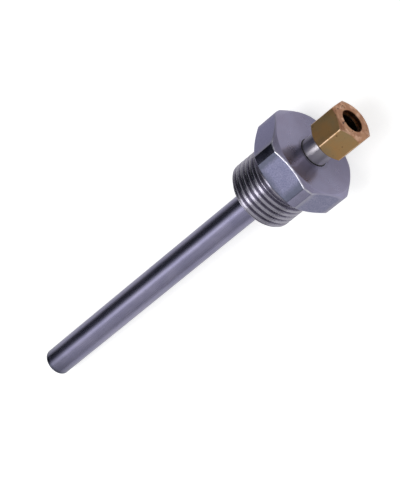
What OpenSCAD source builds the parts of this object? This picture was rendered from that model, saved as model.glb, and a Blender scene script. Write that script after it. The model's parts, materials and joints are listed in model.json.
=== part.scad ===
// Screw-in thermowell: a turned hexagon plug with a parallel pipe thread, a closed stem tube
// and a gland at the neck that grips a probe. All sizes are in millimetres.
//
// Every sub-part is drawn on its own axis, which is Z: the seal face under the hexagon is z = 0,
// the neck and the gland are above it and the stem is below it. lay() then lays the whole thing
// down on its side, the way it rests: on the lower edge of one flat and on the tip of the stem.

/* [Hexagon] */
// Width across the flats
hex_af = 27; // [23:0.5:36]
// Height from the seal face to the top face
hex_h = 9; // [7:0.5:16]
// How far the round bar trims each sharp corner of the hexagon
corner_trim = 0.74; // [0:0.02:1.2]
// How far the rim of the top face lies inside the flats
top_inset = 0.37; // [0.1:0.01:1]
// How far the rim of the seal face lies inside the flats
seal_inset = 0.5; // [0.1:0.05:1]
// Angle of both chamfers, measured from the end faces
hex_chamfer = 30; // [15:1:40]

/* [Process thread] */
// Major diameter
thread_d = 20.955; // [17:0.005:22]
// Pitch, which sets the depth of the thread, its end chamfer and its relief groove
thread_pitch = 1.814; // [1:0.001:2.2]
// Length from the seal face to the end of the plug
thread_len = 13.6; // [10:0.1:20]
// Width of the relief groove below the seal face
relief_w = 3.4; // [2.5:0.1:4.5]
// Radius between the relief groove and the seal face
relief_r = 0.5; // [0.2:0.1:0.9]

/* [Probe and its way in] */
// Diameter of the probe that the well takes
probe_d = 6; // [4:0.1:8]
// Radial room round the probe in the stem
stem_room = 0.3; // [0.2:0.05:0.6]
// Radial room round the probe in the plug
plug_room = 0.5; // [0.3:0.05:0.6]
// Radial room round the probe in the loose clamp ring
ring_room = 0.25; // [0.1:0.05:0.3]
// Radial room round the probe in the nut
nut_room = 0.45; // [0.3:0.05:0.6]

/* [Stem] */
// Wall of the tube
stem_wall = 0.9; // [0.5:0.05:2]
// Length from the seal face to the tip
stem_len = 107.5; // [40:0.5:400]
// How far the tube reaches into the plug past the seal face
stem_seat = 5; // [2:0.5:6]
// Chamfer inside the tube's open end, which leads the probe in
stem_lead = 0.3; // [0.1:0.05:0.4]
// Thickness of the welded disc that closes the tip
disc_t = 1.8; // [1.2:0.1:4]
// Radius ground round the edge of the tip
tip_r = 0.6; // [0.2:0.1:1]

/* [Neck] */
// Wall of the plain neck above the hexagon
neck_wall = 0.7; // [0.6:0.05:2]
// Length of the plain neck, from the top face to the gland thread
neck_len = 6; // [4:0.5:12]
// Length of the gland thread
gland_len = 6; // [5:0.5:7]
// Pitch of the gland thread
gland_pitch = 1; // [0.75:0.05:1.5]
// How far the neck's bore widens to the mouth of the clamp ring's cone
mouth_step = 0.5; // [0.4:0.05:0.6]
// Half angle of that cone
mouth_angle = 12; // [10:1:15]

/* [Clamp ring] */
// Depth to which the ring reaches into the cone
ring_depth = 2; // [1:0.1:2.1]
// How far the ring's collar stands out past the mouth of the cone
collar_step = 0.35; // [0.2:0.05:0.5]
// Width of the collar
collar_w = 0.8; // [0.5:0.1:1.2]
// Wall left at the outer end of the ring
ring_lip = 0.25; // [0.15:0.05:0.4]

/* [Gland nut] */
// Wall between the nut's thread and its flats
nut_wall = 1; // [0.9:0.05:3]
// Length
nut_len = 9.85; // [9.6:0.05:12]
// Length of the plain hole in front of the nut's cone
nut_nose = 1.6; // [0.6:0.05:4]
// How far the rims of the nut's end faces lie inside its flats
nut_inset = 0.3; // [0.1:0.05:0.6]
// Chamfer at the mouth of the nut's hole
nut_mouth = 0.15; // [0.05:0.05:0.4]

/* [Fits] */
// Radial gap between the tube and the bore that it is brazed into
braze_gap = 0.03; // [0.01:0.01:0.05]
// Chamfer at the mouth of that bore, which holds the braze
braze_chamfer = 0.4; // [0.1:0.05:0.6]
// Radial gap between the two halves of the gland thread
thread_gap = 0.05; // [0.02:0.01:0.1]
// Gap between the clamp ring and what it wedges between
ring_gap = 0.06; // [0.02:0.01:0.1]

/* [Hidden] */
$fn = 96;

steel = [0.56, 0.55, 0.60];
tube_steel = [0.50, 0.49, 0.55];
brass = [0.66, 0.52, 0.30];
ring_brass = [0.76, 0.63, 0.36];

// Depth of a pipe thread, of a metric thread and of the neck beside one, as shares of the pitch
pipe_depth = 0.6403;
metric_depth = 0.6134;
neck_depth = 0.8;
// How far a cut runs on past the face that it opens
over = 1;

bar_r = hex_af / sqrt(3) - corner_trim;
top_r = hex_af / 2 - top_inset;
seal_r = hex_af / 2 - seal_inset;
// The turned ends of the plug run on into the hexagon as far as this
core_z = hex_h / 2;

thread_r = thread_d / 2;
relief_depth = pipe_depth * thread_pitch;
groove_r = thread_r - relief_depth;

probe_r = probe_d / 2;
stem_bore_r = probe_r + stem_room;
stem_r = stem_bore_r + stem_wall;
tube_end = disc_t - stem_len;

bore_r = probe_r + plug_room;
neck_r = bore_r + neck_wall;
gland_r = neck_r + neck_depth * gland_pitch;
gland_depth = metric_depth * gland_pitch;
gland_start = hex_h + neck_len;
gland_end = gland_start + gland_len;
mouth_r = bore_r + mouth_step;
mouth_start = gland_end - mouth_step / tan(mouth_angle);

// The clamp ring's collar lies just past the end of the neck, with a 45 degree cone behind it
ring_r = probe_r + ring_room;
ring_start = gland_end - ring_depth;
wedge_r = mouth_r - ring_gap;
collar_r = mouth_r + collar_step;
collar_start = gland_end + ring_gap;
collar_end = collar_start + collar_w;
ring_end = collar_end + collar_r - ring_r - ring_lip;

// The nut's own 45 degree cone runs level with the ring's, an axial gap away
nut_bore_r = probe_r + nut_room;
nut_thread_r = gland_r + thread_gap;
nut_af = 2 * (gland_r + nut_wall);
cone_end = collar_end + ring_gap + collar_r - nut_bore_r;
cone_start = cone_end - (nut_thread_r - nut_bore_r);
nut_front = cone_end + nut_nose;
nut_back = nut_front - nut_len;

// The part rests on the ground edge of the tip and on the lower edge of a flat, or on the end of
// the thread where that reaches lower. run and rise are counted from the centre of the tip's radius.
function tilt_on(run, rise) = atan2(rise, run) - asin(tip_r / norm([run, rise]));
tip_z = tip_r - stem_len;
tip_rise = tip_r - stem_r;
flat_tilt = tilt_on(seal_inset * tan(hex_chamfer) - tip_z, hex_af / 2 + tip_rise);
thread_tilt = tilt_on(relief_depth - thread_len - tip_z, thread_r + tip_rise);
rest_tilt = max(flat_tilt, thread_tilt);

module lay() rotate([0, 90 - rest_tilt, 0]) children();

// Hexagonal prism from low to high. turn puts a flat (30) or a corner (0) on top once laid down.
module hex_bar(af, low, high, turn) {
    translate([0, 0, low]) rotate(turn) cylinder(r = af / sqrt(3), h = high - low, $fn = 6);
}

// Turned blank from low to high, with a cone up to the rim of each end face
module turned_blank(r, low, high, low_rim, high_rim) {
    low_cone = (r - low_rim) * tan(hex_chamfer);
    high_cone = (r - high_rim) * tan(hex_chamfer);
    rotate_extrude() polygon([
        [0, low], [low_rim, low], [r, low + low_cone],
        [r, high - high_cone], [high_rim, high], [0, high]
    ]);
}

module hexagon() intersection() {
    hex_bar(hex_af, 0, hex_h, 30);
    turned_blank(bar_r, 0, hex_h, seal_r, top_r);
}

// Threaded end of the plug: end chamfer, thread at its major diameter, relief groove
module spigot() rotate_extrude() union() {
    polygon([
        [0, -thread_len],
        [groove_r, -thread_len],
        [thread_r, relief_depth - thread_len],
        [thread_r, -relief_w],
        [groove_r, relief_depth - relief_w],
        [groove_r, core_z],
        [0, core_z]
    ]);
    // the groove turns into the seal face on a radius
    difference() {
        translate([groove_r, -relief_r]) square(relief_r);
        translate([groove_r + relief_r, -relief_r]) circle(r = relief_r);
    }
}

// Plain neck and gland thread above the hexagon, with a chamfer at each end of the thread
module neck() rotate_extrude() polygon([
    [0, core_z],
    [neck_r, core_z],
    [neck_r, gland_start],
    [gland_r, gland_start + gland_r - neck_r],
    [gland_r, gland_end - gland_depth],
    [gland_r - gland_depth, gland_end],
    [0, gland_end]
]);

// Way through the plug: seat for the tube, bore for the probe, cone for the clamp ring
module plug_way() {
    seat_r = stem_r + braze_gap;
    rotate_extrude() polygon([
        [0, -thread_len - over],
        [seat_r + braze_chamfer + over, -thread_len - over],
        [seat_r, braze_chamfer - thread_len],
        [seat_r, stem_seat],
        [bore_r, stem_seat],
        [bore_r, mouth_start],
        [mouth_r + over * tan(mouth_angle), gland_end + over],
        [0, gland_end + over]
    ]);
}

module hex_plug() color(steel) lay() difference() {
    union() {
        hexagon();
        spigot();
        neck();
    }
    plug_way();
}

module stem_tube() color(tube_steel) lay() rotate_extrude() polygon([
    [stem_bore_r, tube_end],
    [stem_r, tube_end],
    [stem_r, stem_seat],
    [stem_bore_r + stem_lead, stem_seat],
    [stem_bore_r, stem_seat - stem_lead]
]);

module tip_disc() color(tube_steel) lay() rotate_extrude() union() {
    translate([0, -stem_len]) square([stem_r - tip_r, disc_t]);
    translate([0, tip_r - stem_len]) square([stem_r, disc_t - tip_r]);
    translate([stem_r - tip_r, tip_r - stem_len]) intersection() {
        circle(r = tip_r);
        translate([0, -tip_r]) square(tip_r);
    }
}

module clamp_ring() color(ring_brass) lay() rotate_extrude() polygon([
    [ring_r, ring_start],
    [wedge_r - ring_depth * tan(mouth_angle), ring_start],
    [wedge_r, gland_end],
    [wedge_r, collar_start],
    [collar_r, collar_start],
    [collar_r, collar_end],
    [ring_r + ring_lip, ring_end],
    [ring_r, ring_end]
]);

// Way through the nut: lead-in, thread, 45 degree cone onto the ring, probe hole, chamfer
module nut_way() rotate_extrude() polygon([
    [0, nut_back - over],
    [nut_thread_r + gland_depth + over, nut_back - over],
    [nut_thread_r, nut_back + gland_depth],
    [nut_thread_r, cone_start],
    [nut_bore_r, cone_end],
    [nut_bore_r, nut_front - nut_mouth],
    [nut_bore_r + nut_mouth + over, nut_front + over],
    [0, nut_front + over]
]);

module gland_nut() color(brass) lay() difference() {
    nut_rim = nut_af / 2 - nut_inset;
    intersection() {
        hex_bar(nut_af, nut_back, nut_front, 0);
        turned_blank(nut_af / sqrt(3), nut_back, nut_front, nut_rim, nut_rim);
    }
    nut_way();
}

hex_plug();
stem_tube();
tip_disc();
clamp_ring();
gland_nut();
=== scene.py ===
import bmesh
import bpy
import json
import math
from mathutils import Euler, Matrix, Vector


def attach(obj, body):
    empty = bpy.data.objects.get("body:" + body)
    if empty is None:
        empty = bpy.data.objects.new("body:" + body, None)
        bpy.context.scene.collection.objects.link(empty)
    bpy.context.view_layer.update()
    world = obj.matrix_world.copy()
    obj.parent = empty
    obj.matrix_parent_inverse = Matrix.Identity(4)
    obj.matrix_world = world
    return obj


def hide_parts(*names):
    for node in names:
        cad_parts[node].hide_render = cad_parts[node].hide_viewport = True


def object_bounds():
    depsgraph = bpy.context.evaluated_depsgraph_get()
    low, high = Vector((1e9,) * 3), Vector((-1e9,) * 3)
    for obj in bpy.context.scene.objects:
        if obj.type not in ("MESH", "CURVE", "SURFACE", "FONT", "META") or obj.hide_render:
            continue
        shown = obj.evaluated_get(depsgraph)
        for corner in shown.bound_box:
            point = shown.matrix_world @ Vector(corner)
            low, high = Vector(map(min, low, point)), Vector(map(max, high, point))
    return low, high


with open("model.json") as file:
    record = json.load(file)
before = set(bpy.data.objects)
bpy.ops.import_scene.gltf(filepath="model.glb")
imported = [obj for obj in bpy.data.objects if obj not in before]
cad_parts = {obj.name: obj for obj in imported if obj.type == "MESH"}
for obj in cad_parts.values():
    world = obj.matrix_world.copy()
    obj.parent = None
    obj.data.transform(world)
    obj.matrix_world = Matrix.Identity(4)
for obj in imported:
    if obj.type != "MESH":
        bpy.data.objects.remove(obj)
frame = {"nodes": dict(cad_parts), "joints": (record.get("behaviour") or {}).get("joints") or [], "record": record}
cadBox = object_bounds()
scene = bpy.context.scene
mm = 0.001
wholeTurn = 2 * math.pi
roundSteps = 4            # pieces of the arc at a rounded corner
pointsPerRound = roundSteps + 3
support = 0.25            # distance of a support point from an arc, in roundings
weld = 0.0002 * mm        # points closer than this become one

# The well's axis comes from the record. Pieces are turned about Z and then laid down along it.
wellAxis = Vector(frame["joints"][0]["axis"]).normalized()
wellTilt = math.asin(wellAxis.z)
layDown = Euler((0, math.pi / 2 - wellTilt, 0)).to_matrix().to_4x4()
mounts = {mount["name"]: mount for mount in frame["record"]["mounts"]}


def span(node):  # where a CAD node starts and ends along the well's axis
    along = [(layDown.inverted() @ v.co).z for v in frame["nodes"][node].data.vertices]
    return min(along), max(along)


plugLow, plugHigh = span("hex_plug")
tubeLow, tubeHigh = span("stem_tube")
tipLow, tipHigh = span("tip_disc")
ringLow, ringHigh = span("clamp_ring")
nutLow, nutHigh = span("gland_nut")
print("frame loaded, axis tilted by", round(math.degrees(wellTilt), 2), "degrees")


view = {
    "place": (0.23951, -0.01491, 0.47117),
    "turn": (-18.799, 24.356, -42.694),  # degrees
    "lens": 144.34,
    "sensor": 36,
    "nearest": 0.01,
}


def addCamera():
    camera = bpy.data.objects.new("camera", bpy.data.cameras.new("camera"))
    camera.data.lens = view["lens"]
    camera.data.sensor_width = view["sensor"]
    camera.data.clip_start = view["nearest"]
    camera.location = view["place"]
    camera.rotation_euler = [math.radians(angle) for angle in view["turn"]]
    scene.collection.objects.link(camera)
    scene.camera = camera


addCamera()
print("camera ready")


# every piece is a turned mesh: rows of points that run round the well's axis
def roundOff(corners, steps=roundSteps):
    # corners are (radius, height, rounding); each rounding becomes an arc with a support point
    # on either side, so that smooth shading stays on the arc
    points = []
    count = len(corners)
    for i, (r, z, rounding) in enumerate(corners):
        here = Vector((r, z))
        if not rounding:
            points.append((r, z))
            continue
        before = (Vector(corners[i - 1][:2]) - here).normalized()
        after = (Vector(corners[(i + 1) % count][:2]) - here).normalized()
        half = before.angle(after) / 2
        reach = rounding / math.tan(half)
        centre = here + (before + after).normalized() * (rounding / math.sin(half))
        start, end = here + before * reach, here + after * reach
        points.append(tuple(start + before * support * rounding))
        fromAngle = math.atan2(start.y - centre.y, start.x - centre.x)
        sweep = math.atan2(end.y - centre.y, end.x - centre.x) - fromAngle
        sweep = (sweep + math.pi) % wholeTurn - math.pi
        for step in range(steps + 1):
            angle = fromAngle + sweep * step / steps
            points.append((centre.x + rounding * math.cos(angle),
                           centre.y + rounding * math.sin(angle)))
        points.append(tuple(end + after * support * rounding))
    return points


def evenColumns(count):
    return [wholeTurn * i / count for i in range(count + 1)]


def hexColumns(turn, landStart, landEnd, flatSteps, landSteps, edgeSteps):
    # columns for a hexagon: close together where a flat rounds over into a corner
    sixth = []
    for i in range(flatSteps):
        sixth.append(landStart * (i / flatSteps))
    for i in range(edgeSteps):
        sixth.append(landStart + (landEnd - landStart) * i / edgeSteps)
    corner = math.pi / 6
    for i in range(landSteps + 1):
        sixth.append(landEnd + (corner - landEnd) * i / landSteps)
    sixth += [2 * corner - angle for angle in reversed(sixth[1:-1])]
    around = [turn + k * 2 * corner + angle for k in range(6) for angle in sixth]
    return around + [turn + wholeTurn]


def hexRadius(angle, turn, apothem, barRadius, edge):
    # distance from the axis to a hexagon cut from a round bar, its edges rounded off
    sixth = math.pi / 3
    off = abs((angle - turn + sixth / 2) % sixth - sixth / 2)
    side = math.sqrt((barRadius - edge) ** 2 - (apothem - edge) ** 2)
    if off <= math.atan2(side, apothem):
        return apothem / math.cos(off)
    if off >= math.atan2(side, apothem - edge):
        return barRadius
    towards = barRadius - edge
    apart = math.atan2(side, apothem - edge) - off
    return towards * math.cos(apart) + math.sqrt(edge ** 2 - (towards * math.sin(apart)) ** 2)


def landAngles(apothem, barRadius, edge):
    side = math.sqrt((barRadius - edge) ** 2 - (apothem - edge) ** 2)
    return math.atan2(side, apothem), math.atan2(side, apothem - edge)


def threadRows(low, high, form, envelope, angles, zone):
    # rows that climb with the thread, so that its crests and roots run along edges of the mesh
    pitch = form["pitch"]  # and the steps below are shares of it, from a crest to the next
    crest, root = form["crestWidth"] / pitch / 2, 0.5 - form["rootWidth"] / pitch / 2
    soft = form["rounding"] / pitch
    half = [0, crest - soft, crest - 0.3 * soft, crest + 0.3 * soft, crest + soft]
    half += [crest + soft + (root - crest - 2 * soft) * share for share in (0.33, 0.67, 1)]
    half += [root - 0.3 * soft, root + 0.3 * soft, root + soft]
    half = [step for step in half if step < 0.49]
    steps = half + [0.5] + [1 - step for step in reversed(half[1:])]
    rows = []
    for k in range(int(math.floor(low / pitch)) - 2, int(math.ceil(high / pitch)) + 1):
        for step in steps:
            row = []
            for angle in angles:
                z = (k + step + form["start"] + (angle - angles[0]) / wholeTurn) * pitch
                z = min(max(z, low), high)
                row.append((envelope(z), z))
            rows.append((zone, row))
    return rows


def plainRows(points, angles, zone):
    return [(zone, [point] * len(angles)) for point in points]


def turnMesh(name, rows, angles, materials, closed=True, zoneAt=None):
    # rows are (zone, [(radius, height) for each column]); a face takes the zone of its first row,
    # which zoneAt(zone, angle) may change from column to column
    shell = bmesh.new()
    grid = [[shell.verts.new((r * math.cos(a), r * math.sin(a), z))
             for (r, z), a in zip(row, angles)] for zone, row in rows]
    zones = list(materials)
    for i in range(len(rows) if closed else len(rows) - 1):
        after = grid[(i + 1) % len(rows)]
        for j in range(len(angles) - 1):
            face = shell.faces.new((grid[i][j], grid[i][j + 1], after[j + 1], after[j]))
            zone = rows[i][0]
            if zoneAt:
                zone = zoneAt(zone, (angles[j] + angles[j + 1]) / 2)
            face.material_index = zones.index(zone)
            face.smooth = True
    bmesh.ops.remove_doubles(shell, verts=shell.verts, dist=weld)
    bmesh.ops.dissolve_degenerate(shell, edges=shell.edges, dist=weld)
    bmesh.ops.recalc_face_normals(shell, faces=shell.faces)
    mesh = bpy.data.meshes.new(name)
    shell.to_mesh(mesh)
    shell.free()
    for zone in zones:
        mesh.materials.append(materials[zone])
    piece = bpy.data.objects.new(name, mesh)
    scene.collection.objects.link(piece)
    return piece


def unwrapTurned(mesh):
    # u runs round the piece and v along its profile, 20 mm to a unit, for the grain of the metal
    layer = mesh.uv_layers.new(name="turning")
    for face in mesh.polygons:
        first = None
        for loop in face.loop_indices:
            co = mesh.vertices[mesh.loops[loop].vertex_index].co
            radius = math.hypot(co.x, co.y)
            angle = math.atan2(co.y, co.x)
            first = angle if first is None else first
            angle = first + (angle - first + math.pi) % wholeTurn - math.pi
            layer.data[loop].uv = (angle / wholeTurn, (co.z + radius) / (20 * mm))


def finishPiece(piece, body, node):
    unwrapTurned(piece.data)
    piece.data.transform(layDown)
    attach(piece, body)
    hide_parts(node)
    print(piece.name, "has", len(piece.data.polygons), "faces")


def calc(tree, operation, *values):  # one Math node; values are sockets or numbers
    node = tree.nodes.new("ShaderNodeMath")
    node.operation = operation
    for socket, value in zip(node.inputs, values):
        if isinstance(value, (int, float)):
            socket.default_value = value
        else:
            tree.links.new(value, socket)
    return node.outputs[0]


def threadCutterTree():
    # moves the skin of a turned blank to a rounded screw thread about Z
    tree = bpy.data.node_groups.new("thread cutter", "GeometryNodeTree")
    sockets = tree.interface
    sockets.new_socket("Blank", in_out="INPUT", socket_type="NodeSocketGeometry")
    for label in ("Pitch", "Start", "Crest Width", "Root Width", "Rounding", "Root Radius", "Depth",
                  "Low End", "High End"):
        sockets.new_socket(label, in_out="INPUT", socket_type="NodeSocketFloat")
    sockets.new_socket("Inside", in_out="INPUT", socket_type="NodeSocketBool")
    sockets.new_socket("Material", in_out="INPUT", socket_type="NodeSocketMaterial")
    sockets.new_socket("Cut", in_out="OUTPUT", socket_type="NodeSocketGeometry")
    given = tree.nodes.new("NodeGroupInput").outputs
    place = tree.nodes.new("GeometryNodeInputPosition").outputs[0]
    parts = tree.nodes.new("ShaderNodeSeparateXYZ")
    tree.links.new(place, parts.inputs[0])
    x, y, z = parts.outputs

    radius = calc(tree, "SQRT", calc(tree, "ADD", calc(tree, "MULTIPLY", x, x),
                                     calc(tree, "MULTIPLY", y, y)))
    turn = calc(tree, "DIVIDE", calc(tree, "ARCTAN2", y, x), wholeTurn)
    climb = calc(tree, "MULTIPLY", calc(tree, "ADD", turn, given["Start"]), given["Pitch"])
    fromCrest = calc(tree, "PINGPONG", calc(tree, "SUBTRACT", z, climb),
                     calc(tree, "MULTIPLY", given["Pitch"], 0.5))
    crest = calc(tree, "MULTIPLY", given["Crest Width"], 0.5)
    root = calc(tree, "MULTIPLY", calc(tree, "SUBTRACT", given["Pitch"], given["Root Width"]), 0.5)
    down = calc(tree, "DIVIDE", calc(tree, "SUBTRACT", root, fromCrest),
                calc(tree, "SUBTRACT", root, crest))
    flank = calc(tree, "MULTIPLY", down, given["Depth"])
    lowered = calc(tree, "SMOOTH_MIN", flank, given["Depth"], given["Rounding"])
    height = calc(tree, "SMOOTH_MAX", lowered, 0.0, given["Rounding"])
    skin = calc(tree, "ADD", given["Root Radius"], height)
    outer = calc(tree, "MINIMUM", radius, skin)
    inner = calc(tree, "MAXIMUM", radius, skin)
    choose = tree.nodes.new("GeometryNodeSwitch")
    choose.input_type = "FLOAT"
    tree.links.new(given["Inside"], choose.inputs["Switch"])
    tree.links.new(outer, choose.inputs["False"])
    tree.links.new(inner, choose.inputs["True"])
    scale = calc(tree, "DIVIDE", choose.outputs[0], radius)

    # only the skin between the two ends and near the thread's own radius
    slack = 0.005 * mm
    crestRadius = calc(tree, "ADD", given["Root Radius"], given["Depth"])
    inEnds = calc(tree, "MULTIPLY",
                  calc(tree, "GREATER_THAN", z, calc(tree, "SUBTRACT", given["Low End"], slack)),
                  calc(tree, "LESS_THAN", z, calc(tree, "ADD", given["High End"], slack)))
    inSkin = calc(tree, "MULTIPLY",
                  calc(tree, "GREATER_THAN", radius,
                       calc(tree, "SUBTRACT", given["Root Radius"], slack)),
                  calc(tree, "LESS_THAN", radius, calc(tree, "ADD", crestRadius, slack)))
    chosen = calc(tree, "MULTIPLY", inEnds, inSkin)

    moved = tree.nodes.new("ShaderNodeCombineXYZ")
    tree.links.new(calc(tree, "MULTIPLY", x, scale), moved.inputs[0])
    tree.links.new(calc(tree, "MULTIPLY", y, scale), moved.inputs[1])
    tree.links.new(z, moved.inputs[2])
    setPlace = tree.nodes.new("GeometryNodeSetPosition")
    tree.links.new(given["Blank"], setPlace.inputs["Geometry"])
    tree.links.new(chosen, setPlace.inputs["Selection"])
    tree.links.new(moved.outputs[0], setPlace.inputs["Position"])
    realize = tree.nodes.new("GeometryNodeRealizeInstances")
    tree.links.new(setPlace.outputs[0], realize.inputs[0])
    setMetal = tree.nodes.new("GeometryNodeSetMaterial")
    tree.links.new(realize.outputs[0], setMetal.inputs["Geometry"])
    tree.links.new(chosen, setMetal.inputs["Selection"])
    tree.links.new(given["Material"], setMetal.inputs["Material"])
    tree.links.new(setMetal.outputs[0], tree.nodes.new("NodeGroupOutput").inputs[0])
    return tree


def cutThread(piece, cutter, form, rootRadius, low, high, inside, material):
    modifier = piece.modifiers.new("thread", "NODES")
    modifier.node_group = cutter
    settings = {
        "Pitch": form["pitch"], "Start": form["start"], "Crest Width": form["crestWidth"],
        "Root Width": form["rootWidth"], "Rounding": form["rounding"], "Depth": form["depth"],
        "Root Radius": rootRadius, "Low End": low, "High End": high, "Inside": inside,
        "Material": material,
    }
    sockets = {item.name: item.identifier for item in cutter.interface.items_tree
               if item.in_out == "INPUT"}
    for label, value in settings.items():
        modifier[sockets[label]] = value
    evaluated = piece.evaluated_get(bpy.context.evaluated_depsgraph_get())
    cut = bpy.data.meshes.new_from_object(evaluated)
    piece.modifiers.remove(modifier)
    piece.data = cut


threadCutter = threadCutterTree()


# shader helpers; each returns the socket that the next one takes
def link(tree, source, target):
    tree.links.new(source, target)


def wellCoords(tree):
    # Object coordinates turned so that Z runs along the well's axis
    coords = tree.nodes.new("ShaderNodeTexCoord")
    turn = tree.nodes.new("ShaderNodeMapping")
    turn.vector_type = "TEXTURE"
    turn.inputs["Rotation"].default_value = (0, math.pi / 2 - wellTilt, 0)
    link(tree, coords.outputs["Object"], turn.inputs["Vector"])
    return turn.outputs[0]


def stretched(tree, vector, scale):
    mapping = tree.nodes.new("ShaderNodeMapping")
    mapping.inputs["Scale"].default_value = scale
    link(tree, vector, mapping.inputs["Vector"])
    return mapping.outputs[0]


def noise(tree, vector, scale, detail=4, roughness=0.55):
    node = tree.nodes.new("ShaderNodeTexNoise")
    node.inputs["Scale"].default_value = scale
    node.inputs["Detail"].default_value = detail
    node.inputs["Roughness"].default_value = roughness
    link(tree, vector, node.inputs["Vector"])
    return node.outputs["Fac"]


def remap(tree, value, fromLow, fromHigh, toLow, toHigh):
    node = tree.nodes.new("ShaderNodeMapRange")
    for label, number in (("From Min", fromLow), ("From Max", fromHigh),
                          ("To Min", toLow), ("To Max", toHigh)):
        node.inputs[label].default_value = number
    link(tree, value, node.inputs["Value"])
    return node.outputs[0]


def split(tree, vector):  # the three parts of a vector
    node = tree.nodes.new("ShaderNodeSeparateXYZ")
    link(tree, vector, node.inputs[0])
    return node.outputs


def mixColours(tree, factor, first, second):
    node = tree.nodes.new("ShaderNodeMix")
    node.data_type = "RGBA"
    link(tree, factor, node.inputs["Factor"])
    for socket, colour in ((node.inputs[6], first), (node.inputs[7], second)):
        if isinstance(colour, tuple):
            socket.default_value = (*colour, 1)
        else:
            link(tree, colour, socket)
    return node.outputs[2]


def bump(tree, height, distance, below=None):
    node = tree.nodes.new("ShaderNodeBump")
    node.inputs["Strength"].default_value = 1.0
    node.inputs["Distance"].default_value = distance
    link(tree, height, node.inputs["Height"])
    if below:
        link(tree, below, node.inputs["Normal"])
    return node.outputs[0]


def axisRadius(tree, vector):  # distance from the well's axis
    x, y, z = split(tree, vector)
    return calc(tree, "SQRT", calc(tree, "ADD", calc(tree, "MULTIPLY", x, x),
                                   calc(tree, "MULTIPLY", y, y)))


def startMetal(name, anisotropy=0.0, turn=0.0):
    # turn 0 spreads reflections round the piece, 0.25 spreads them across its lathe marks
    material = bpy.data.materials.new(name)
    material.use_nodes = True
    tree = material.node_tree
    shader = tree.nodes["Principled BSDF"]
    shader.inputs["Metallic"].default_value = 1.0
    if anisotropy:
        shader.inputs["Anisotropic"].default_value = anisotropy
        shader.inputs["Anisotropic Rotation"].default_value = turn
        tangent = tree.nodes.new("ShaderNodeTangent")
        tangent.direction_type = "UV_MAP"
        tangent.uv_map = "turning"
        link(tree, tangent.outputs[0], shader.inputs["Tangent"])
    return material, tree, shader


def paint(tree, shader, colour):
    if isinstance(colour, tuple):
        shader.inputs["Base Color"].default_value = (*colour, 1)
    else:
        link(tree, colour, shader.inputs["Base Color"])


def roughen(tree, shader, grain, low, high):  # most of a noise lies between 0.3 and 0.7
    link(tree, remap(tree, grain, 0.3, 0.7, low, high), shader.inputs["Roughness"])


def emboss(tree, shader, height, depth, below=None):
    link(tree, bump(tree, height, depth, below), shader.inputs["Normal"])


def patchy(tree, cloud, first, second, low=0.35, high=0.65, most=1):
    # two colours in patches; most is how far the second one takes over
    return mixColours(tree, remap(tree, cloud, low, high, 0, most), first, second)


steelLook = {
    "light": (0.335, 0.32, 0.455),     # skin of the stem and the flats, with dark
    "dark": (0.245, 0.238, 0.365),
    "blue": (0.155, 0.165, 0.28),      # mottle of the flats
    "reflectedViolet": (0.34, 0.31, 0.62),      # painted reflection tint of the flat on the far side
    "bright": (0.50, 0.48, 0.52),      # rubbed ends of the flats, partly a painted sheen
    "face": (0.38, 0.365, 0.525),      # turned faces, with warm
    "warm": (0.335, 0.305, 0.44),
    "wornAndLit": (0.80, 0.79, 0.88),        # edges rubbed bright, partly a painted highlight, and the painted highlight on the thread crests
    "neck": (0.48, 0.46, 0.49),
    "cut": (0.32, 0.305, 0.375),       # cut threads, with cutLight
    "cutLight": (0.40, 0.382, 0.455),
    "rootShade": (0.34, 0.33, 0.41),     # painted shade in their roots
    "bore": (0.42, 0.42, 0.62),
    "braze": (0.62, 0.56, 0.44),
    # dark tone for the painted shade on the top flat and the darkening towards the end of the tip
    "darkTone": (0.085, 0.092, 0.13),
    # the next two: grime for the halo on the top face, and together the painted shade in the seam at the neck
    "grimeAndShade": (0.09, 0.09, 0.085),
    "seamShade": (0.03, 0.03, 0.035),
}
tipTint = {  # darker towards the end of the tip; lengths are from the end of the tip
    "tipDark": 0.85,
    "tipDarkFull": 1.3 * mm,
    "tipDarkEnd": 2.9 * mm,
    "haze": 0.45,
    "hazeFull": 3.0 * mm,
    "hazeEnd": 10.0 * mm,
    "ragged": 0.8 * mm,
}
flatMarks = {
    "topStart": 12.6 * mm,  # above this the top flat gets painted shade
    "topFull": 13.2 * mm,
    "middle": 0.3 * mm,     # from here the darkening of the ends is measured across the flat
    "endStart": 4.2 * mm,
    "endFull": 6.6 * mm,
    "endDark": 0.9,
    "endRagged": 3.0 * mm,
    "footStart": 3.5 * mm,  # the painted shade along the seal face
    "footFull": 1.6 * mm,
    "footShade": 0.85,
    "footRagged": 2.0 * mm,
    "allOver": 0.36,
    "rubSheenStart": 14.2 * mm,  # radius where the other flats are rubbed, partly a painted sheen
    "rubSheenFull": 14.65 * mm,
    "rubSheen": 0.4,
    "farStart": 8.0 * mm,
    "farFull": 9.5 * mm,
    "farReflectionTint": 0.4,
}
faceMarks = {
    "ringPitch": 0.55 * mm,
    "ringDrift": 0.5 * mm,
    "ringShade": 0.22,
    "haloRadius": 4.95 * mm,  # brown halo round the foot of the neck
    "haloCore": 0.2 * mm,
    "haloEdge": 0.55 * mm,
    "halo": 0.55,
}
threadLight = {
    "rootRadius": 9.3 * mm,
    "flankRadius": 9.9 * mm,
    "rootSkin": 0.8,
    "crestStart": 10.1 * mm,
    "crestFull": 10.45 * mm,
    "crest": 0.10,
}
edgeWearAndHighlight = {
    "sideHeight": 10.5 * mm,  # up to here an edge has little wear and little painted highlight
    "topHeight": 12.0 * mm,
    "side": 0.12,
}


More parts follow.
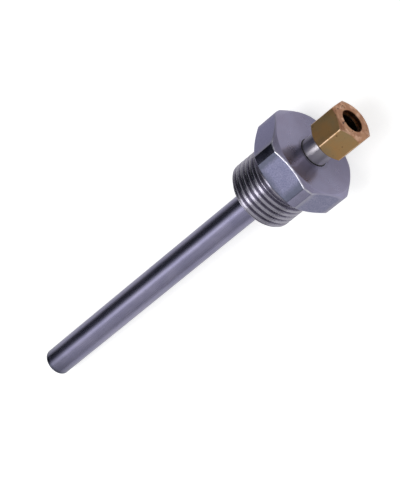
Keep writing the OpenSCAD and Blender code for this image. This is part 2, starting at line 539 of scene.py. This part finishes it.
def drawnSteel():  # the stem: drawn lengthwise, then polished
    material, tree, shader = startMetal("drawnSteel", anisotropy=0.35)
    place = wellCoords(tree)
    streaks = noise(tree, stretched(tree, place, (1, 1, 0.03)), scale=900, detail=5)
    blotches = noise(tree, stretched(tree, place, (1, 1, 0.4)), scale=260, detail=4)
    grain = noise(tree, place, scale=2600, detail=2)
    skin = patchy(tree, blotches, steelLook["dark"], steelLook["light"], 0.3, 0.7)
    # the stem darkens towards the end of the tip
    ragged = calc(tree, "MULTIPLY_ADD", blotches, tipTint["ragged"], split(tree, place)[2])
    tipDark = remap(tree, ragged, tipLow + tipTint["tipDarkEnd"], tipLow + tipTint["tipDarkFull"],
                 0, tipTint["tipDark"])
    haze = remap(tree, ragged, tipLow + tipTint["hazeEnd"], tipLow + tipTint["hazeFull"],
                 0, tipTint["haze"])
    tint = calc(tree, "MAXIMUM", tipDark, haze)
    paint(tree, shader, mixColours(tree, tint, skin, steelLook["darkTone"]))
    roughen(tree, shader, streaks, 0.24, 0.30)
    emboss(tree, shader, streaks, 0.004 * mm, below=bump(tree, grain, 0.004 * mm))
    return material


def milledSteel():  # flats of the hexagon: dull and mottled; the top one darkened all over by painted shade, more at its ends and along the seal face
    material, tree, shader = startMetal("milledSteel")
    marks = flatMarks
    place = wellCoords(tree)
    cloud = noise(tree, place, scale=240, detail=4)
    speckle = noise(tree, place, scale=2300, detail=3, roughness=0.7)
    skin = patchy(tree, cloud, steelLook["dark"], steelLook["light"])
    mottle = patchy(tree, speckle, skin, steelLook["blue"], 0.38, 0.62, 0.85)
    down, sideways, along = split(tree, place)
    across = calc(tree, "ABSOLUTE", calc(tree, "SUBTRACT", sideways, marks["middle"]))
    onTop = remap(tree, down, -marks["topStart"], -marks["topFull"], 0, 1)
    acrossRagged = calc(tree, "MULTIPLY_ADD", cloud, marks["endRagged"], across)
    atEnds = remap(tree, acrossRagged, marks["endStart"], marks["endFull"], 0, marks["endDark"])
    alongRagged = calc(tree, "MULTIPLY_ADD", cloud, marks["footRagged"], along)
    atFoot = remap(tree, alongRagged, marks["footStart"], marks["footFull"],
                   marks["allOver"], marks["footShade"])
    # painted shade over the top flat, darker at its ends and along the seal face
    darkTone = calc(tree, "MULTIPLY", onTop, calc(tree, "MAXIMUM", atEnds, atFoot))
    # the other flats are rubbed brighter near their corners, partly a painted sheen
    rubSheen = remap(tree, axisRadius(tree, place), marks["rubSheenStart"], marks["rubSheenFull"],
                0, marks["rubSheen"])
    offTop = calc(tree, "SUBTRACT", 1.0, onTop)
    rubbedAndLit = mixColours(tree, calc(tree, "MULTIPLY", offTop, rubSheen), mottle, steelLook["bright"])
    # painted reflection tint on the flat on the far side
    farReflection = remap(tree, sideways, marks["farStart"], marks["farFull"], 0, marks["farReflectionTint"])
    reflectionTinted = mixColours(tree, farReflection, rubbedAndLit, steelLook["reflectedViolet"])
    paint(tree, shader, mixColours(tree, darkTone, reflectionTinted, steelLook["darkTone"]))
    roughen(tree, shader, cloud, 0.28, 0.35)
    emboss(tree, shader, speckle, 0.03 * mm)
    return material


def turnedSteel():  # faces of the hexagon and of the thread's end: fine rings from the lathe
    material, tree, shader = startMetal("turnedSteel", anisotropy=0.85, turn=0.25)
    marks = faceMarks
    place = wellCoords(tree)
    radius = axisRadius(tree, place)
    uneven = noise(tree, place, scale=220, detail=3)
    wavy = calc(tree, "MULTIPLY_ADD", uneven, marks["ringDrift"], radius)
    rings = calc(tree, "SINE", calc(tree, "MULTIPLY", wavy, wholeTurn / marks["ringPitch"]))
    smudge = noise(tree, place, scale=130, detail=3)
    skin = patchy(tree, smudge, steelLook["face"], steelLook["warm"], 0.35, 0.7)
    ringed = patchy(tree, rings, skin, steelLook["dark"], -1, 1, marks["ringShade"])
    offHalo = calc(tree, "ABSOLUTE", calc(tree, "SUBTRACT", radius, marks["haloRadius"]))
    halo = calc(tree, "MULTIPLY",
                remap(tree, offHalo, marks["haloCore"], marks["haloEdge"], marks["halo"], 0),
                remap(tree, smudge, 0.38, 0.55, 0.2, 1))
    paint(tree, shader, mixColours(tree, halo, ringed, steelLook["grimeAndShade"]))
    roughen(tree, shader, uneven, 0.26, 0.34)
    emboss(tree, shader, rings, 0.0015 * mm)
    return material


def threadSteel():  # cut threads and grooves, with painted shade in the roots and a painted highlight on the crests
    material, tree, shader = startMetal("threadSteel", anisotropy=1.0, turn=0.25)
    wearAndLight = threadLight
    place = wellCoords(tree)
    grain = noise(tree, place, scale=900, detail=3)
    radius = axisRadius(tree, place)
    skin = patchy(tree, grain, steelLook["cut"], steelLook["cutLight"])
    # painted shade in the roots
    outOfRoot = remap(tree, radius, wearAndLight["rootRadius"], wearAndLight["flankRadius"], wearAndLight["rootSkin"], 1)
    deep = mixColours(tree, outOfRoot, steelLook["rootShade"], skin)
    # painted highlight on the crests, with a little wear
    onCrest = remap(tree, radius, wearAndLight["crestStart"], wearAndLight["crestFull"], 0, wearAndLight["crest"])
    paint(tree, shader, mixColours(tree, onCrest, deep, steelLook["wornAndLit"]))
    roughen(tree, shader, grain, 0.22, 0.26)
    emboss(tree, shader, grain, 0.004 * mm)
    return material


def edgeSteel():  # edges of the hexagon, rubbed bright and given a painted highlight, most on the top edges
    material, tree, shader = startMetal("edgeSteel", anisotropy=0.7, turn=0.25)
    place = wellCoords(tree)
    rubbedAndLit = noise(tree, place, scale=600, detail=3)
    # rubbed edges with a painted highlight, strongest on the top edges
    onTop = remap(tree, split(tree, place)[0], -edgeWearAndHighlight["sideHeight"], -edgeWearAndHighlight["topHeight"],
                  edgeWearAndHighlight["side"], 1)
    wearAndLight = calc(tree, "MULTIPLY", onTop, remap(tree, rubbedAndLit, 0.3, 0.6, 0.3, 1))
    paint(tree, shader, mixColours(tree, wearAndLight, steelLook["light"], steelLook["wornAndLit"]))
    roughen(tree, shader, rubbedAndLit, 0.32, 0.42)
    return material


def landSteel():  # skin of the round bar, left at the hexagon's corners
    material, tree, shader = startMetal("landSteel")
    cloud = noise(tree, wellCoords(tree), scale=300, detail=4)
    paint(tree, shader, patchy(tree, cloud, steelLook["light"], steelLook["face"]))
    roughen(tree, shader, cloud, 0.22, 0.28)
    emboss(tree, shader, cloud, 0.002 * mm)
    return material


def seamSteel():  # painted shade in the narrow seam where the neck meets the hexagon
    material, tree, shader = startMetal("seamSteel")
    shadeNoise = noise(tree, wellCoords(tree), scale=900, detail=3)
    paint(tree, shader, patchy(tree, shadeNoise, steelLook["grimeAndShade"], steelLook["seamShade"]))
    roughen(tree, shader, shadeNoise, 0.4, 0.6)
    return material


def neckSteel():  # the neck: turned smooth and bright
    material, tree, shader = startMetal("neckSteel", anisotropy=1.0, turn=0.25)
    rings = noise(tree, stretched(tree, wellCoords(tree), (0.02, 0.02, 1)), scale=1400, detail=2)
    paint(tree, shader, steelLook["neck"])
    roughen(tree, shader, rings, 0.275, 0.295)
    emboss(tree, shader, rings, 0.0004 * mm)
    return material


def boreSteel():  # inside of the bores
    material, tree, shader = startMetal("boreSteel")
    rings = noise(tree, stretched(tree, wellCoords(tree), (0.05, 0.05, 1)), scale=2500, detail=3)
    paint(tree, shader, steelLook["bore"])
    roughen(tree, shader, rings, 0.3, 0.45)
    return material


def brazeSilver():  # filler round the stem where it enters the plug
    material, tree, shader = startMetal("brazeSilver")
    ripple = noise(tree, wellCoords(tree), scale=700, detail=3)
    paint(tree, shader, steelLook["braze"])
    roughen(tree, shader, ripple, 0.25, 0.4)
    emboss(tree, shader, ripple, 0.02 * mm)
    return material


brassLook = {
    "gold": (0.495, 0.29, 0.12),       # flats of the nut, with olive
    "olive": (0.42, 0.29, 0.145),
    "copper": (0.51, 0.27, 0.155),     # its ends, with rose and pale
    "rose": (0.42, 0.20, 0.12),
    "pale": (0.72, 0.44, 0.30),
    "wornAndLit": (0.86, 0.60, 0.40),        # its corners, rubbed bright, partly a painted highlight
    "inner": (0.27, 0.17, 0.085),      # its inside, with innerDark
    "innerDark": (0.10, 0.07, 0.06),
    "darkTone": (0.07, 0.04, 0.03),
    "ringPitch": 0.2 * mm,
}


def nutBrass():  # flats of the nut, a little tarnished
    material, tree, shader = startMetal("nutBrass")
    place = wellCoords(tree)
    cloud = noise(tree, place, scale=260, detail=4)
    fleck = noise(tree, place, scale=900, detail=3)
    streaks = noise(tree, stretched(tree, place, (1, 1, 0.06)), scale=1200, detail=4)
    tarnish = patchy(tree, cloud, brassLook["gold"], brassLook["olive"])
    paint(tree, shader, patchy(tree, fleck, tarnish, brassLook["darkTone"], 0.68, 0.76, 0.8))
    roughen(tree, shader, streaks, 0.44, 0.52)
    emboss(tree, shader, streaks, 0.006 * mm)
    return material


def edgeBrass():  # corners of the nut, rubbed bright and given a painted highlight
    material, tree, shader = startMetal("edgeBrass")
    rubbedAndLit = noise(tree, wellCoords(tree), scale=700, detail=3)
    # rubbed corners, partly a painted highlight
    paint(tree, shader, patchy(tree, rubbedAndLit, brassLook["gold"], brassLook["wornAndLit"], 0.3, 0.6))
    roughen(tree, shader, rubbedAndLit, 0.30, 0.40)
    return material


def faceBrass():  # turned ends of the nut, reddened where the metal was cut
    material, tree, shader = startMetal("faceBrass", anisotropy=0.4)
    place = wellCoords(tree)
    radius = axisRadius(tree, place)
    rings = calc(tree, "SINE", calc(tree, "MULTIPLY", radius, wholeTurn / brassLook["ringPitch"]))
    cloud = noise(tree, place, scale=420, detail=4)
    fleck = noise(tree, place, scale=800, detail=2)
    wash = noise(tree, place, scale=520, detail=2)
    blush = patchy(tree, cloud, brassLook["copper"], brassLook["rose"], 0.45, 0.65)
    washed = patchy(tree, wash, blush, brassLook["pale"], 0.5, 0.65)
    paint(tree, shader, patchy(tree, fleck, washed, brassLook["darkTone"], 0.66, 0.72, 0.9))
    roughen(tree, shader, cloud, 0.3, 0.42)
    emboss(tree, shader, rings, 0.003 * mm)
    return material


def innerBrass():  # thread and bore of the nut, and the clamp ring
    material, tree, shader = startMetal("innerBrass")
    grain = noise(tree, wellCoords(tree), scale=700, detail=3)
    paint(tree, shader, patchy(tree, grain, brassLook["inner"], brassLook["innerDark"]))
    roughen(tree, shader, grain, 0.24, 0.34)
    return material


steelDrawn, steelMilled, steelTurned = drawnSteel(), milledSteel(), turnedSteel()
steelThread, steelEdge, steelLand = threadSteel(), edgeSteel(), landSteel()
steelSeam, steelNeck, steelBore = seamSteel(), neckSteel(), boreSteel()
silverBraze = brazeSilver()
brassNut, brassEdge, brassFace, brassInner = nutBrass(), edgeBrass(), faceBrass(), innerBrass()
print("materials ready")


gland = {  # screw thread between the neck and the nut
    "radius": 5.0 * mm,
    "pitch": 1.0 * mm,
    "depth": 0.6134 * mm,
    "start": 0.0,
    "crestWidth": 0.16 * mm,
    "rootWidth": 0.14 * mm,
    "rounding": 0.06 * mm,
    "gap": 0.05 * mm,
}
process = {  # pipe thread below the hexagon; start says where the crests come
    "pitch": 1.814 * mm,
    "depth": 1.1615 * mm,
    "start": 0.84,
    "crestWidth": 0.84 * mm,
    "rootWidth": 0.10 * mm,
    "rounding": 0.16 * mm,
}
plug = {
    "apothem": 13.5 * mm,
    "barRadius": 14.85 * mm,
    "height": 9 * mm,
    "topRim": 13.13 * mm,
    "sealRim": 13.0 * mm,
    "chamfer": math.radians(30),
    "cornerRounding": 0.4 * mm,
    "rimRounding": 0.1 * mm,
    "edgeRounding": 0.3 * mm,
    "grooveWidth": 3.4 * mm,
    "grooveRounding": 0.5 * mm,
    "runOut": 2.5,              # how steeply the thread falls into the groove
    "neckRadius": 4.2 * mm,
    "neckEnd": 15 * mm,
    "neckFillet": 0.15 * mm,
    "lead": 0.08 * mm,          # neck and seat keep this far from the thread and the end
    "boreRadius": 3.5 * mm,
    "mouthRadius": 4.0 * mm,
    "mouthAngle": math.radians(12),
    "seatRadius": 4.23 * mm,    # the stem sits in this hole
    "endInset": 0.1 * mm,
    "brazeWidth": 0.55 * mm,
    "brazeHeight": 0.45 * mm,
    "brazeSteps": 6,
    "flatSteps": 13,            # columns of the mesh along half a flat
    "landSteps": 3,
    "edgeSteps": 4,
}
stemRadius = 4.2 * mm


def hexagonCorners(angle):
    # profile of the hexagon at one column, from the top face's rim down to the seal face's rim
    reach = hexRadius(angle, 0, plug["apothem"], plug["barRadius"], plug["cornerRounding"])
    slope = math.tan(plug["chamfer"])
    soft = plug["rimRounding"]
    edge = plug["edgeRounding"]
    return [
        (plug["topRim"] - 3 * soft, plug["height"], 0),
        (plug["topRim"], plug["height"], soft),
        (reach, plug["height"] - (reach - plug["topRim"]) * slope, edge),
        (reach, (reach - plug["sealRim"]) * slope, edge),
        (plug["sealRim"], 0, soft),
        (plug["sealRim"] - 3 * soft, 0, 0),
    ]


def hexagonRows(angles):
    # one rounding after the other: top rim, upper edge, lower edge, lower rim
    columns = [roundOff(hexagonCorners(angle)) for angle in angles]
    rows = []
    for i in range(len(columns[0])):
        zone = "rims"
        if pointsPerRound < i < 2 * pointsPerRound:
            zone = "edges"
        elif 2 * pointsPerRound <= i < 3 * pointsPerRound:
            zone = "flats"
        rows.append((zone, [column[i] for column in columns]))
    return rows


def buildPlug(cutter):
    start, end = landAngles(plug["apothem"], plug["barRadius"], plug["cornerRounding"])
    angles = hexColumns(0, start, end, plug["flatSteps"], plug["landSteps"], plug["edgeSteps"])
    threadRadius = mounts["process_thread"]["dims"]["r_mm"] * mm
    threadDepth = process["depth"]
    grooveRadius = threadRadius - threadDepth
    glandRadius, glandRoot = gland["radius"], gland["radius"] - gland["depth"]
    low, high = plugLow, plugHigh
    neckEnd, neckRadius = plug["neckEnd"], plug["neckRadius"]

    def glandEnvelope(z):
        return min(glandRadius, neckRadius + z - neckEnd, glandRoot + high - z)

    def threadEnvelope(z):
        runOut = max(grooveRadius, threadRadius - (z + plug["grooveWidth"]) * plug["runOut"])
        return min(threadRadius, grooveRadius + z - low, runOut)

    grooveTop = threadDepth - plug["grooveWidth"]
    mouthStart = high - (plug["mouthRadius"] - plug["boreRadius"]) / math.tan(plug["mouthAngle"])
    lead = plug["lead"]
    rows = plainRows(roundOff([
        (plug["boreRadius"], tubeHigh, 0),
        (plug["boreRadius"], mouthStart, 0),
        (plug["mouthRadius"], high, 0),
    ]), angles, "bore")
    rows += threadRows(neckEnd, high, gland, glandEnvelope, angles, "glandThread")[::-1]
    fillet = plug["neckFillet"]
    rows += plainRows([(neckRadius, neckEnd - lead)], angles, "neck")
    rows += plainRows(roundOff([
        (neckRadius, neckEnd - lead, 0),
        (neckRadius, plug["height"], fillet),
        (neckRadius + 1.5 * fillet, plug["height"], 0),
    ])[1:], angles, "seam")
    rows += plainRows([(neckRadius + 2 * fillet, plug["height"])]
                      + [(plug["topRim"] * share + neckRadius * (1 - share), plug["height"])
                         for share in (0.2, 0.4, 0.6, 0.8)], angles, "topFace")
    rows += hexagonRows(angles)
    rows += plainRows(roundOff([
        (plug["sealRim"] - 4 * plug["rimRounding"], 0, 0),
        (grooveRadius, 0, plug["grooveRounding"]),
        (grooveRadius, grooveTop, 0),
    ]), angles, "groove")
    rows += threadRows(low, grooveTop, process, threadEnvelope, angles, "thread")[::-1]
    seat = plug["seatRadius"]
    rows += plainRows([(grooveRadius - plug["endInset"], low),
                       (stemRadius + plug["brazeWidth"], low)], angles, "endFace")
    steps = plug["brazeSteps"]
    rows += plainRows([(stemRadius + plug["brazeWidth"] * (1 - math.sin(math.pi / 2 * i / steps)),
                        low - plug["brazeHeight"] * (1 - math.cos(math.pi / 2 * i / steps)))
                       for i in range(steps + 1)], angles, "braze")
    rows += plainRows([(seat, low + lead), (seat, tubeHigh)], angles, "bore")
    zones = {
        "bore": steelBore, "glandThread": steelThread, "neck": steelNeck, "topFace": steelTurned,
        "rims": steelTurned, "edges": steelEdge, "flats": steelMilled, "lands": steelLand,
        "seam": steelSeam, "groove": steelThread, "thread": steelThread,
        "endFace": steelTurned, "braze": silverBraze,
    }

    def zoneAt(zone, angle):  # the corners of the flats are what is left of the round bar
        off = abs((angle + math.pi / 6) % (math.pi / 3) - math.pi / 6)
        return "lands" if zone == "flats" and off > end else zone

    piece = turnMesh("hexPlug", rows, angles, zones, zoneAt=zoneAt)
    cutThread(piece, cutter, process, grooveRadius, low, grooveTop, False, steelThread)
    cutThread(piece, cutter, gland, glandRoot, neckEnd, high, False, steelThread)
    finishPiece(piece, "well", "hex_plug")


buildPlug(threadCutter)


stem = {
    "radius": stemRadius,
    "boreRadius": mounts["probe_bore"]["dims"]["r_mm"] * mm,
    "lead": 0.3 * mm,
    "jointRounding": 0.04 * mm,
    "tipRadius": 0.6 * mm,
    "tipSteps": 10,
    "lengthSteps": 24,
    "columns": 160,
}


def buildTube():
    angles = evenColumns(stem["columns"])
    outer, bore, soft = stem["radius"], stem["boreRadius"], stem["jointRounding"]
    steps = stem["lengthSteps"]
    skin = [(outer, tubeLow + (tubeHigh - tubeLow) * i / steps, 0)
            for i in range(steps - 1, 0, -1)]
    outside = roundOff([(bore + stem["lead"], tubeHigh, 0), (outer, tubeHigh, soft)] + skin
                       + [(outer, tubeLow, soft), (bore, tubeLow, 0)])
    inside = [(bore, tubeHigh - stem["lead"])]
    rows = plainRows(outside, angles, "skin") + plainRows(inside, angles, "bore")
    piece = turnMesh("stemTube", rows, angles, {"skin": steelDrawn, "bore": steelBore})
    finishPiece(piece, "well", "stem_tube")


def buildTip():
    angles = evenColumns(stem["columns"])
    outer, soft = stem["radius"], stem["jointRounding"]
    profile = roundOff([(0.8 * outer, tipHigh, 0), (outer, tipHigh, soft),
                        (outer, tipLow, stem["tipRadius"]), (0.5 * outer, tipLow, 0)],
                       steps=stem["tipSteps"])
    points = [(0, tipHigh)] + profile + [(0, tipLow)]
    piece = turnMesh("tipDisc", plainRows(points, angles, "skin"), angles, {"skin": steelDrawn},
                     closed=False)
    finishPiece(piece, "well", "tip_disc")


buildTube()
buildTip()


nut = {
    "apothem": 6 * mm,
    "rimInset": 0.3 * mm,
    "chamfer": math.radians(30),
    "backChamfer": math.radians(42),
    "cornerRounding": 0.45 * mm,
    "rimRounding": 0.12 * mm,
    "lead": 0.3 * mm,
    "boreRadius": 3.45 * mm,
    "boreChamfer": 0.15 * mm,
    "boreRounding": 0.04 * mm,
    "nose": 1.6 * mm,
    "flatSteps": 9,             # columns of the mesh along half a flat
    "landSteps": 2,
    "edgeSteps": 4,
    "backPoints": 12,           # profile points from the back up to the flats
    "flatPoints": 5,
}
ring = {
    "boreRadius": 3.25 * mm,
    "wedgeRadius": 3.94 * mm,
    "depth": 2 * mm,
    "collarRadius": 4.35 * mm,
    "collarWidth": 0.8 * mm,
    "gap": 0.06 * mm,
    "lip": 0.25 * mm,
    "rounding": 0.05 * mm,
    "columns": 96,
}


def nutCorners(angle, turn, barRadius):
    reach = hexRadius(angle, turn, nut["apothem"], barRadius, nut["cornerRounding"])
    rim = nut["apothem"] - nut["rimInset"]
    slope = math.tan(nut["chamfer"])
    soft = nut["rimRounding"]
    return [
        (rim - 3 * soft, nutLow, 0),
        (rim, nutLow, soft),
        (reach, nutLow + (reach - rim) * math.tan(nut["backChamfer"]), soft),
        (reach, nutHigh - (reach - rim) * slope, soft),
        (rim, nutHigh, soft),
        (rim - 3 * soft, nutHigh, 0),
    ]


def buildNut(cutter):
    turn = math.pi / 6  # the nut stands half a flat off the hexagon
    inner = nut["apothem"] - nut["cornerRounding"]
    barRadius = inner / math.cos(math.pi / 6) + nut["cornerRounding"]
    start, end = landAngles(nut["apothem"], barRadius, nut["cornerRounding"])
    angles = hexColumns(turn, start, end, nut["flatSteps"], nut["landSteps"], nut["edgeSteps"])
    columns = [roundOff(nutCorners(angle, turn, barRadius)) for angle in angles]
    rows = []
    for i in range(len(columns[0])):
        zone = "back"
        if i >= nut["backPoints"]:
            zone = "flats" if i < nut["backPoints"] + nut["flatPoints"] else "ends"
        rows.append((zone, [column[i] for column in columns]))
    bore, mouth, soft = nut["boreRadius"], nut["boreChamfer"], nut["boreRounding"]
    coneEnd = nutHigh - nut["nose"]
    major = gland["radius"] + gland["gap"]
    minor = major - gland["depth"]
    threadEnd = coneEnd - (major - bore)
    rows += plainRows(roundOff([
        (bore + 3 * mouth, nutHigh, 0),
        (bore + mouth, nutHigh, soft),
        (bore, nutHigh - mouth, soft),
        (bore, coneEnd, 0),
    ]), angles, "mouth")
    rows += plainRows([(minor, coneEnd - (minor - bore)), (minor, threadEnd)], angles, "inside")

    def envelope(z):
        return max(minor, major + nut["lead"] - (z - nutLow))

    rows += threadRows(nutLow, threadEnd, gland, envelope, angles, "thread")[::-1]
    zones = {
        "flats": brassNut, "back": brassNut, "ends": brassFace, "mouth": brassFace,
        "inside": brassInner, "thread": brassInner, "corners": brassEdge,
    }

    def zoneAt(zone, angle):
        off = abs(angle % (math.pi / 3) - math.pi / 6)
        return "corners" if zone == "flats" and off > start else zone

    piece = turnMesh("glandNut", rows, angles, zones, zoneAt=zoneAt)
    cutThread(piece, cutter, gland, minor, nutLow, threadEnd, True, brassInner)
    finishPiece(piece, "nut", "gland_nut")


def buildRing():
    angles = evenColumns(ring["columns"])
    bore, wedge = ring["boreRadius"], ring["wedgeRadius"]
    collar, soft = ring["collarRadius"], ring["rounding"]
    shoulder = ringLow + ring["depth"]
    collarStart = shoulder + ring["gap"]
    collarEnd = collarStart + ring["collarWidth"]
    points = roundOff([
        (bore, ringLow, soft),
        (wedge - ring["depth"] * math.tan(plug["mouthAngle"]), ringLow, soft),
        (wedge, shoulder, 0),
        (wedge, collarStart, 0),
        (collar, collarStart, soft),
        (collar, collarEnd, soft),
        (bore + ring["lip"], ringHigh, soft),
        (bore, ringHigh, soft),
    ])
    piece = turnMesh("clampRing", plainRows(points, angles, "ring"), angles, {"ring": brassInner})
    finishPiece(piece, "ring", "clamp_ring")


buildNut(threadCutter)
buildRing()


studio = {
    "floorSize": 3.0,
    "floorColour": (0.68, 0.68, 0.68),
    "floorLift": 0.62,          # added where the camera looks, so that the floor reads white
    "floorShine": 0.20,         # added where metal mirrors the floor
    "mirrorShadeStart": 0.02,         # beyond this the floor is darker where the metal mirrors it: painted shade seen only in reflections
    "mirrorShadeEnd": 0.07,
    "mirrorShadeLeft": 0.30,
    "wallLow": 0.36,            # brightness of the walls at the horizon and overhead
    "wallHigh": 0.70,
    "wallTop": 0.8,             # sine of the elevation where the walls are brightest
    "keyAim": (140, 72),        # azimuth and elevation, degrees
    "keyDistance": 1.2,
    "keySize": (0.66, 0.50),
    "keyPower": 4.3,
    "glowAim": (167, 47),       # soft brighter patch of the walls
    "glowInner": 3,
    "glowOuter": 12,
    "glowGain": 1.6,
    "flags": (                  # dark cloths: aim, inner and outer angle, light left
        ((131, 12), 24, 33, 0.02),
        ((95, 20), 20, 34, 0.10),
    ),
    "flagTint": (0.84, 1.18, 1.6),
    "tintStart": 0.3,           # walls darker than this take the cloths' tint
    "tintFull": 0.02,
}


def aim(azimuth, elevation):
    a, e = math.radians(azimuth), math.radians(elevation)
    return Vector((math.cos(a) * math.cos(e), math.sin(a) * math.cos(e), math.sin(e)))


def addFloor():
    half = studio["floorSize"] / 2
    level = cadBox[0][2]
    mesh = bpy.data.meshes.new("floor")
    corners = [(-half, -half, level), (half, -half, level), (half, half, level),
               (-half, half, level)]
    mesh.from_pydata(corners, [], [(0, 1, 2, 3)])
    material = bpy.data.materials.new("floorPaper")
    material.use_nodes = True
    tree = material.node_tree
    shader = tree.nodes["Principled BSDF"]
    shader.inputs["Roughness"].default_value = 1.0
    shader.inputs["Specular IOR Level"].default_value = 0.0
    rays = tree.nodes.new("ShaderNodeLightPath").outputs
    sideways = split(tree, tree.nodes.new("ShaderNodeTexCoord").outputs["Object"])[1]
    # painted shade on one side of the floor, seen only in reflections
    mirrorShade = remap(tree, sideways, studio["mirrorShadeStart"], studio["mirrorShadeEnd"],
                  0, 1 - studio["mirrorShadeLeft"])
    mirrored = calc(tree, "MULTIPLY", mirrorShade, rays["Is Glossy Ray"])
    dimmed = calc(tree, "SUBTRACT", 1.0, mirrored)
    paint(tree, shader, mixColours(tree, dimmed, (0, 0, 0), studio["floorColour"]))
    shine = calc(tree, "MULTIPLY", calc(tree, "MULTIPLY", rays["Is Glossy Ray"], dimmed),
                 studio["floorShine"])
    lift = calc(tree, "MULTIPLY_ADD", rays["Is Camera Ray"], studio["floorLift"], shine)
    shader.inputs["Emission Color"].default_value = (1, 1, 1, 1)
    link(tree, lift, shader.inputs["Emission Strength"])
    mesh.materials.append(material)
    floor = bpy.data.objects.new("floor", mesh)
    scene.collection.objects.link(floor)


def addKeyLight():
    lamp = bpy.data.lights.new("softbox", "AREA")
    lamp.shape = "RECTANGLE"
    lamp.size, lamp.size_y = studio["keySize"]
    lamp.energy = studio["keyPower"]
    key = bpy.data.objects.new("softbox", lamp)
    towards = aim(*studio["keyAim"])
    key.location = towards * studio["keyDistance"]
    key.rotation_euler = towards.to_track_quat("Z", "Y").to_euler()
    scene.collection.objects.link(key)


def towardsAim(tree, direction, target):  # cosine of the angle to an aim
    node = tree.nodes.new("ShaderNodeVectorMath")
    node.operation = "DOT_PRODUCT"
    link(tree, direction, node.inputs[0])
    node.inputs[1].default_value = aim(*target)
    return node.outputs["Value"]


def addWorld():
    world = bpy.data.worlds.new("studio")
    world.use_nodes = True
    scene.world = world
    tree = world.node_tree
    background = tree.nodes["Background"]
    towards = tree.nodes.new("ShaderNodeTexCoord").outputs["Generated"]
    walls = remap(tree, split(tree, towards)[2], 0.0, studio["wallTop"],
                  studio["wallLow"], studio["wallHigh"])
    glow = remap(tree, towardsAim(tree, towards, studio["glowAim"]),
                 math.cos(math.radians(studio["glowOuter"])),
                 math.cos(math.radians(studio["glowInner"])), 1.0, 1 + studio["glowGain"])
    lit = calc(tree, "MULTIPLY", walls, glow)
    for flagAim, inner, outer, left in studio["flags"]:
        shade = remap(tree, towardsAim(tree, towards, flagAim), math.cos(math.radians(inner)),
                      math.cos(math.radians(outer)), left, 1.0)
        lit = calc(tree, "MULTIPLY", lit, shade)
    seen = tree.nodes.new("ShaderNodeLightPath").outputs["Is Camera Ray"]
    blend = tree.nodes.new("ShaderNodeMix")  # the camera sees white, and metal sees the walls
    link(tree, seen, blend.inputs[0])
    link(tree, lit, blend.inputs[2])
    blend.inputs[3].default_value = 1.0
    plain = remap(tree, blend.outputs[0], studio["tintFull"], studio["tintStart"], 0, 1)
    tint = mixColours(tree, plain, studio["flagTint"], (1, 1, 1))
    link(tree, tint, background.inputs["Color"])
    link(tree, blend.outputs[0], background.inputs["Strength"])


addFloor()
addKeyLight()
addWorld()
scene.view_settings.view_transform = "Standard"
print("studio ready")
